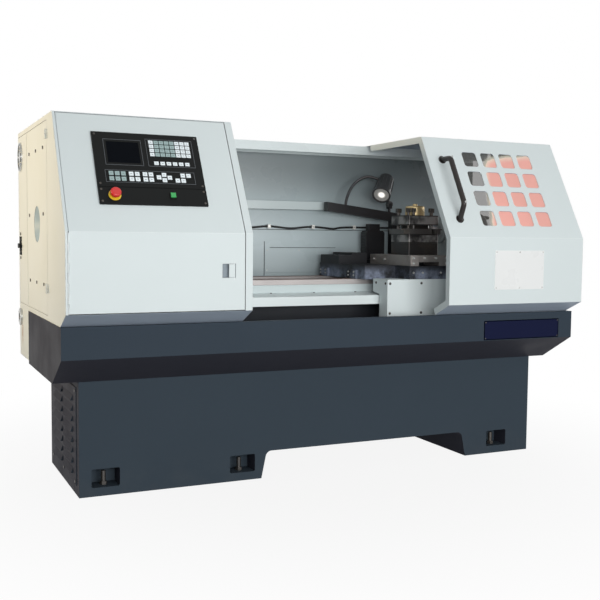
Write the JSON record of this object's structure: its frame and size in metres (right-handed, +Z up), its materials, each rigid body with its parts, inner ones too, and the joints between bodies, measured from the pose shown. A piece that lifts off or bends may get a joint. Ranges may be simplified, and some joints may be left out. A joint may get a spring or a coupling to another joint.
{
  "type": "CNC turning lathe",
  "caption": "Flat-bed CNC turning lathe with hooded headstock, sloping control panel, sliding guard door, carriage with four-way turret, tailstock and chip tray on a stand.",
  "frame": {"origin": "centre of the bounding box on the floor", "axes": "+X along the bed from headstock to tailstock, +Y to the back, +Z up"},
  "size_m": [2.454, 1.19, 1.543],
  "materials": {
    "slate_paint": "semi-gloss slate enamel",
    "pale_paint": "satin pale grey-blue enamel",
    "guard_paint": "satin pale grey enamel",
    "cast_paint": "pale painted casting with ground ways",
    "black_paint": "satin black",
    "dark_steel": "dark machined steel",
    "bright_steel": "ground steel",
    "zinc": "zinc plated",
    "black_plastic": "fine grain",
    "key_plastic": "membrane keys",
    "screen_glass": "display glass",
    "red_plastic": "gloss",
    "yellow_plastic": "gloss",
    "green_plastic": "gloss",
    "white_plastic": "satin",
    "brass": "dull brass",
    "belt_rubber": "belt rubber",
    "cable_rubber": "cable sheath",
    "tinted_pane": "tinted polycarbonate",
    "lamp_glass": "frosted lens",
    "navy_plate": "navy enamel plate",
    "white_plate": "white enamel plate",
    "motor_paint": "motor enamel"
  },
  "bodies": {
    "frame": {"base_stand": "slate_paint", "vent_cover": "slate_paint", "frame_screws": "zinc", "levelling_bolts": "zinc", "chip_tray": "slate_paint", "name_plate": "navy_plate", "bed": "cast_paint", "screw_cover": "guard_paint", "z_motor": "black_paint", "headstock": "cast_paint", "hood_shell": "pale_paint", "electrical_cabinet": "pale_paint", "cable_gland": "zinc", "rear_guard": "guard_paint", "guard_cable": "cable_rubber", "cable_clips": "white_plastic", "main_motor": "motor_paint", "drive_belts": "belt_rubber"},
    "front_door": {"front_door": "pale_paint", "control_panel": "black_plastic", "control_screen": "screen_glass", "control_keys": "key_plastic", "e_stop_ring": "yellow_plastic"},
    "e_stop": {"e_stop_button": "red_plastic"},
    "start_button": {"start_button": "green_plastic"},
    "latch": {"latch_paddle": "zinc"},
    "end_door": {"end_door": "pale_paint", "end_vent": "zinc", "lock_plate": "black_plastic", "end_door_screws": "zinc"},
    "lock": {"lock_handle": "black_plastic"},
    "spindle": {"spindle": "bright_steel", "chuck_body": "bright_steel", "spindle_pulley": "dark_steel"},
    "jaw_1": {"chuck_jaw_1": "bright_steel"},
    "jaw_2": {"chuck_jaw_2": "bright_steel"},
    "jaw_3": {"chuck_jaw_3": "bright_steel"},
    "motor_rotor": {"motor_pulley": "dark_steel"},
    "ball_screw": {"z_ball_screw": "bright_steel"},
    "carriage": {"saddle": "black_paint", "apron_cover": "pale_paint", "x_motor": "black_paint", "lamp_arm": "black_paint", "lamp_conduit": "zinc"},
    "lamp": {"lamp_head": "black_paint", "lamp_lens": "lamp_glass"},
    "cross_slide": {"cross_slide": "dark_steel", "turret_base": "dark_steel"},
    "turret": {"turret_head": "dark_steel", "clamp_bolts": "zinc", "turret_cap": "brass", "cutting_tools": "bright_steel"},
    "tailstock": {"tailstock_body": "cast_paint"},
    "quill": {"tailstock_quill": "bright_steel"},
    "handwheel": {"tailstock_handwheel": "bright_steel"},
    "clamp_lever": {"tailstock_lever": "black_plastic"},
    "sliding_door": {"sliding_door": "pale_paint", "window_pane": "tinted_pane", "door_handle": "black_plastic", "sign_plate": "white_plate"}
  },
  "joints": [
    {"name": "front_door_hinge", "type": "hinge", "parent": "frame", "child": "front_door", "pos_m": [-1.2015, -0.592, 0.926], "axis": [0, 0, -1], "range_deg": [0, 100]},
    {"name": "e_stop_push", "type": "slide", "parent": "front_door", "child": "e_stop", "axis": [0, 0.8724, -0.4888], "range_m": [0, 0.006], "stiffness_N_per_m": 2500},
    {"name": "start_push", "type": "slide", "parent": "front_door", "child": "start_button", "axis": [0, 0.8724, -0.4888], "range_m": [0, 0.004], "stiffness_N_per_m": 1500},
    {"name": "latch_pull", "type": "hinge", "parent": "front_door", "child": "latch", "pos_m": [-0.555, -0.588, 0.9315], "axis": [0, 0, 1], "range_deg": [0, 40], "stiffness_Nm_per_rad": 0.3},
    {"name": "end_door_hinge", "type": "hinge", "parent": "frame", "child": "end_door", "pos_m": [-1.218, -0.211, 1.15], "axis": [0, 0, 1], "range_deg": [0, 110]},
    {"name": "lock_turn", "type": "hinge", "parent": "end_door", "child": "lock", "pos_m": [-1.222, 0.537, 1.012], "axis": [1, 0, 0], "range_deg": [0, 90]},
    {"name": "spindle_spin", "type": "hinge", "parent": "frame", "child": "spindle", "pos_m": [-0.8, 0.047, 1.11], "axis": [1, 0, 0], "continuous": true},
    {"name": "jaw_1_slide", "type": "slide", "parent": "spindle", "child": "jaw_1", "axis": [0, 0, 1], "range_m": [-0.018, 0.006]},
    {"name": "jaw_2_slide", "type": "slide", "parent": "spindle", "child": "jaw_2", "axis": [0, -0.866, -0.5], "range_m": [-0.018, 0.006]},
    {"name": "jaw_3_slide", "type": "slide", "parent": "spindle", "child": "jaw_3", "axis": [0, 0.866, -0.5], "range_m": [-0.018, 0.006]},
    {"name": "motor_spin", "type": "hinge", "parent": "frame", "child": "motor_rotor", "pos_m": [-1.03, 0.047, 0.232], "axis": [1, 0, 0], "continuous": true},
    {"name": "carriage_slide", "type": "slide", "parent": "frame", "child": "carriage", "axis": [1, 0, 0], "range_m": [-0.69, 0.05]},
    {"name": "screw_spin", "type": "hinge", "parent": "frame", "child": "ball_screw", "pos_m": [0.2, -0.202, 0.774], "axis": [1, 0, 0], "continuous": true},
    {"name": "lamp_tilt", "type": "hinge", "parent": "carriage", "child": "lamp", "pos_m": [0.607, 0.203, 1.24], "axis": [0, 1, 0], "range_deg": [-25, 25], "deforming": ["lamp_conduit"]},
    {"name": "cross_slide", "type": "slide", "parent": "carriage", "child": "cross_slide", "axis": [0, 1, 0], "range_m": [-0.02, 0.14]},
    {"name": "turret_index", "type": "hinge", "parent": "cross_slide", "child": "turret", "pos_m": [0.534, -0.167, 1.1], "axis": [0, 0, 1], "continuous": true},
    {"name": "tailstock_slide", "type": "slide", "parent": "frame", "child": "tailstock", "axis": [1, 0, 0], "range_m": [-0.08, 0.08]},
    {"name": "quill_slide", "type": "slide", "parent": "tailstock", "child": "quill", "axis": [-1, 0, 0], "range_m": [-0.03, 0.06]},
    {"name": "handwheel_turn", "type": "hinge", "parent": "tailstock", "child": "handwheel", "pos_m": [1.05, 0.047, 1.11], "axis": [1, 0, 0], "continuous": true},
    {"name": "clamp_turn", "type": "hinge", "parent": "tailstock", "child": "clamp_lever", "pos_m": [0.952, -0.03, 0.9885], "axis": [0, 1, 0], "range_deg": [-45, 45]},
    {"name": "door_slide", "type": "slide", "parent": "frame", "child": "sliding_door", "axis": [-1, 0, 0], "range_m": [0, 0.93]}
  ],
  "couplings": [
    {"joint": "motor_spin", "follows": "spindle_spin", "ratio": 1.6429},
    {"joint": "jaw_2_slide", "follows": "jaw_1_slide", "ratio": 1},
    {"joint": "jaw_3_slide", "follows": "jaw_1_slide", "ratio": 1},
    {"joint": "screw_spin", "follows": "carriage_slide", "rad_per_m": 1047.2},
    {"joint": "handwheel_turn", "follows": "quill_slide", "rad_per_m": 1256.6}
  ]
}
